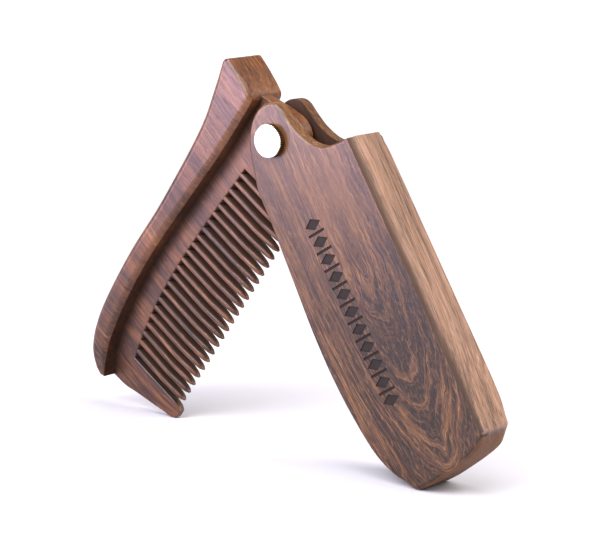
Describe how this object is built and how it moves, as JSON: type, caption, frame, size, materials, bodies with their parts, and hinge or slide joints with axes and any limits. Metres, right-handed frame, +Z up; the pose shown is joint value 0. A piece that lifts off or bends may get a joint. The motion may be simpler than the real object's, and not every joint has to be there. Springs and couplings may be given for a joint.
{
  "type": "folding beard comb",
  "caption": "Pocket beard comb of dark wood that folds on a knurled pivot screw into a slotted wooden case.",
  "frame": {"origin": "on the floor under the middle of the bounding box of the comb standing half open", "axes": "+Z up, +X from the comb's foot to the case's foot, +Y from the front face with the post's head to the back face with the screw; the pivot axis runs along Y"},
  "size_m": [0.12, 0.016, 0.0923],
  "materials": {
    "case_wood": "sanded and oiled, satin",
    "comb_wood": "sanded and oiled, satin",
    "pivot_metal": "polished pale plate over brass",
    "washer_fibre": "dull black fibre"
  },
  "bodies": {
    "case": {"case": "case_wood", "pivot_post": "pivot_metal", "pivot_screw": "pivot_metal", "front_washer": "washer_fibre", "back_washer": "washer_fibre"},
    "comb": {"comb": "comb_wood"}
  },
  "joints": [
    {"name": "fold", "type": "hinge", "parent": "case", "child": "comb", "pos_m": [-0.00335, 0, 0.07483], "axis": [0, -1, 0], "range_deg": [-119, 67.2]}
  ]
}
